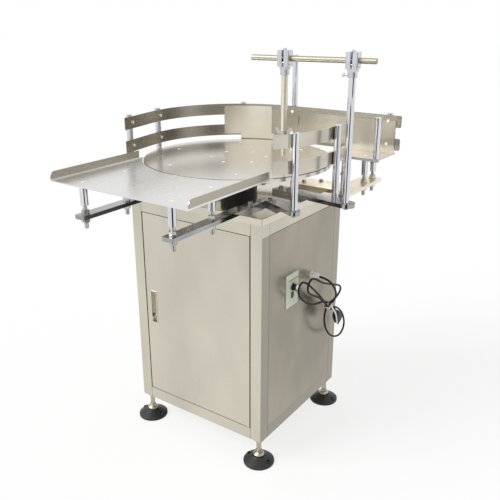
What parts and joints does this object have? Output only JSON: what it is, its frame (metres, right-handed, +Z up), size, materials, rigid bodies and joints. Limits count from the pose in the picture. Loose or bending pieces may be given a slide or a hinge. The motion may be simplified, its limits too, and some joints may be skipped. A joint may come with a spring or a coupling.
{
  "type": "bottle collator",
  "caption": "Rotary bottle collator: stainless cabinet on levelling feet with a turntable, loading tray, guide rails, outfeed plate, cross bar guide, speed control and mains lead.",
  "frame": {"origin": "point on the floor below the turntable's axis, at the middle of the cabinet's plan", "axes": "+Z up along the turntable's axis, +X towards the control side, -Y towards the loading tray and the door, so +Y is the rear"},
  "size_m": [0.7942, 0.886, 1.269],
  "materials": {
    "cabinet_steel": "satin brushed stainless sheet",
    "table_steel": "bright polished stainless sheet",
    "rail_steel": "satin stainless flat bar and sheet",
    "chrome": "bright chromium plate",
    "bar_steel": "ground stainless bar",
    "fastener_steel": "zinc plated or stainless fasteners",
    "foot_black": "matt black moulded pad on a bright stem",
    "housing_black": "black powder coat",
    "drive_steel": "grey primer",
    "gear_aluminium": "cast and painted grey",
    "black_plastic": "matt black",
    "bezel_amber": "amber moulding",
    "control_green": "pale green plate with one red line",
    "gland_grey": "light grey",
    "cord_black": "matt black sheath",
    "tie_white": "white strap"
  },
  "bodies": {
    "cabinet": {"arm_bolts": "fastener_steel", "bearing_housing": "housing_black", "cabinet_frame": "cabinet_steel", "cable_gland": "gland_grey", "control_plate": "control_green", "controller_case": "black_plastic", "cord_hank": "cord_black", "cord_tie": "tie_white", "curved_guide_sheet": "rail_steel", "door_hinge_pins": "fastener_steel", "drive_bolts": "fastener_steel", "drive_motor": "gear_aluminium", "drive_plate": "drive_steel", "drive_standoffs": "drive_steel", "floor_plate": "cabinet_steel", "foot_inserts_and_nuts": "fastener_steel", "gearbox_case": "gear_aluminium", "left_panel": "cabinet_steel", "loading_tray": "table_steel", "mains_plug": "black_plastic", "outfeed_bracket": "rail_steel", "outfeed_guide_sheet": "rail_steel", "outfeed_plate": "table_steel", "plate_screws": "fastener_steel", "plate_sleeves": "chrome", "plate_studs": "fastener_steel", "power_cord": "cord_black", "rail_posts": "chrome", "rail_screws": "fastener_steel", "rear_panel": "cabinet_steel", "rear_rails": "rail_steel", "right_panel": "cabinet_steel", "right_rails": "rail_steel", "spindle_bearings": "fastener_steel", "support_arms": "rail_steel", "switch_bezel": "bezel_amber", "tall_posts": "chrome", "top_plate": "cabinet_steel"},
    "turntable": {"spindle": "bar_steel", "hub_flange": "table_steel", "turntable_disc": "table_steel", "disc_stiffener_ring": "table_steel", "disc_screws": "fastener_steel", "shaft_coupling": "drive_steel", "output_shaft": "bar_steel"},
    "door": {"front_door": "cabinet_steel", "door_pull": "cabinet_steel"},
    "door_latch": {"latch_barrel": "fastener_steel"},
    "foot_front_left": {"levelling_foot_front_left": "foot_black"},
    "foot_front_right": {"levelling_foot_front_right": "foot_black"},
    "foot_rear_left": {"levelling_foot_rear_left": "foot_black"},
    "foot_rear_right": {"levelling_foot_rear_right": "foot_black"},
    "speed_dial": {"speed_knob": "black_plastic"},
    "power_switch": {"power_rocker": "black_plastic"},
    "bar_carrier": {"post_clamp": "chrome"},
    "collar_screw": {"thumb_screw": "bar_steel"},
    "bar": {"cross_bar": "bar_steel"},
    "rod_carrier": {"rod_clamp": "chrome"},
    "hanging_rod": {"guide_rod": "bar_steel"},
    "rod_wing_nut": {"wing_nut": "bar_steel"}
  },
  "joints": [
    {"name": "turntable_spin", "type": "hinge", "parent": "cabinet", "child": "turntable", "pos_m": [0, 0, 0.9], "axis": [0, 0, 1], "continuous": true},
    {"name": "door_hinge", "type": "hinge", "parent": "cabinet", "child": "door", "pos_m": [0.1995, -0.2315, 0.45], "axis": [0, 0, 1], "range_deg": [0, 110]},
    {"name": "latch_turn", "type": "hinge", "parent": "door", "child": "door_latch", "pos_m": [-0.177, -0.2, 0.409], "axis": [0, 1, 0], "range_deg": [0, 90]},
    {"name": "foot_front_left_screw", "type": "slide", "parent": "cabinet", "child": "foot_front_left", "axis": [0, 0, 1], "range_m": [0, 0.025]},
    {"name": "foot_front_right_screw", "type": "slide", "parent": "cabinet", "child": "foot_front_right", "axis": [0, 0, 1], "range_m": [0, 0.025]},
    {"name": "foot_rear_left_screw", "type": "slide", "parent": "cabinet", "child": "foot_rear_left", "axis": [0, 0, 1], "range_m": [0, 0.025]},
    {"name": "foot_rear_right_screw", "type": "slide", "parent": "cabinet", "child": "foot_rear_right", "axis": [0, 0, 1], "range_m": [0, 0.025]},
    {"name": "speed_knob_turn", "type": "hinge", "parent": "cabinet", "child": "speed_dial", "pos_m": [0.26, -0.066, 0.566], "axis": [-1, 0, 0], "range_deg": [0, 300]},
    {"name": "power_switch_rock", "type": "hinge", "parent": "cabinet", "child": "power_switch", "pos_m": [0.249, -0.069, 0.54], "axis": [0, -1, 0], "range_deg": [0, 18]},
    {"name": "cross_bar_swing", "type": "hinge", "parent": "cabinet", "child": "bar_carrier", "pos_m": [0.384, 0, 1.2], "axis": [0, 0, 1], "range_deg": [-40, 25]},
    {"name": "collar_screw_turn", "type": "hinge", "parent": "bar_carrier", "child": "collar_screw", "pos_m": [0.384, 0, 1.203], "axis": [-0.9882, -0.153, 0], "range_deg": [-180, 180]},
    {"name": "cross_bar_slide", "type": "slide", "parent": "bar_carrier", "child": "bar", "axis": [0.9882, 0.153, 0], "range_m": [-0.04, 0.03]},
    {"name": "rod_clamp_slide", "type": "slide", "parent": "bar", "child": "rod_carrier", "axis": [0.9882, 0.153, 0], "range_m": [-0.07, 0.04]},
    {"name": "guide_rod_height", "type": "slide", "parent": "rod_carrier", "child": "hanging_rod", "axis": [0, 0, 1], "range_m": [-0.015, 0]},
    {"name": "wing_nut_turn", "type": "hinge", "parent": "hanging_rod", "child": "rod_wing_nut", "pos_m": [0.18635, -0.0306, 1.03], "axis": [0, 0, 1], "range_deg": [-180, 180]}
  ]
}
